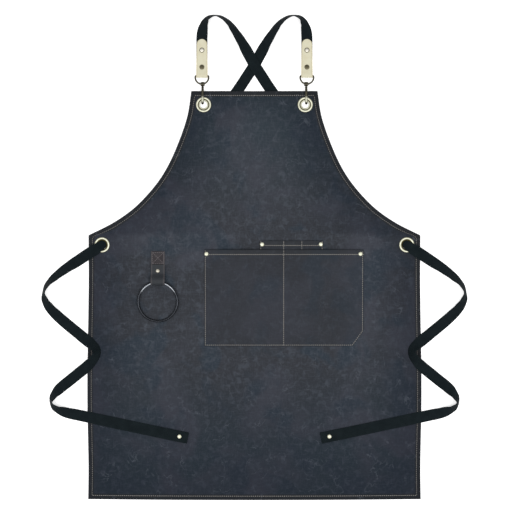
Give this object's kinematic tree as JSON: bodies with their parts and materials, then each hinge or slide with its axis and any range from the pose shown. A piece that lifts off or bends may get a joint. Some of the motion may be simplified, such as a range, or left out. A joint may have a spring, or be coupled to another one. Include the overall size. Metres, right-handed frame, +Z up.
{
  "type": "cross-back apron",
  "caption": "Canvas work apron lying flat: hemmed bib and skirt, webbing straps that cross at the back and tie, riveted pockets, and a towel ring in a folded loop.",
  "frame": {"origin": "on the floor, under the middle of the bounding box", "axes": "+Z up out of the apron's front, +Y from the skirt's hem to the bib, +X to the right seen from above"},
  "size_m": [0.8822, 1.0046, 0.023],
  "materials": {
    "canvas": "waxed charcoal-blue canvas, mottled, matt",
    "webbing": "black woven webbing, matt",
    "leather": "cream leather, smooth, satin",
    "loop_leather": "dark brown leather, matt",
    "brass": "pale polished brass",
    "bronze": "dark antique bronze plating",
    "gunmetal": "glossy gunmetal plating"
  },
  "bodies": {
    "apron": {"apron_panel": "canvas", "main_pocket": "canvas", "pen_pocket": "canvas", "strap_left": "webbing", "strap_right": "webbing", "tab_left": "leather", "tab_right": "leather", "towel_loop": "loop_leather", "grommet_bib_left": "brass", "grommet_bib_right": "brass", "grommet_waist_left": "brass", "grommet_waist_right": "brass", "pocket_rivet_left": "brass", "pocket_rivet_right": "brass", "pen_pocket_rivet_left": "brass", "pen_pocket_rivet_right": "brass", "tie_rivet_left": "brass", "tie_rivet_right": "brass", "tab_rivet_upper_left": "brass", "tab_rivet_upper_right": "brass", "tab_rivet_lower_left": "brass", "tab_rivet_lower_right": "brass", "towel_loop_rivet": "brass", "d_ring_left": "bronze", "d_ring_right": "bronze", "snap_hook_left": "bronze", "snap_hook_right": "bronze"},
    "towel_ring": {"towel_ring": "gunmetal"}
  },
  "joints": [
    {"name": "towel_ring_swing", "type": "hinge", "parent": "apron", "child": "towel_ring", "pos_m": [-0.1995, -0.0532, 0.01209], "axis": [-1, 0, 0], "range_deg": [0, 150]}
  ]
}
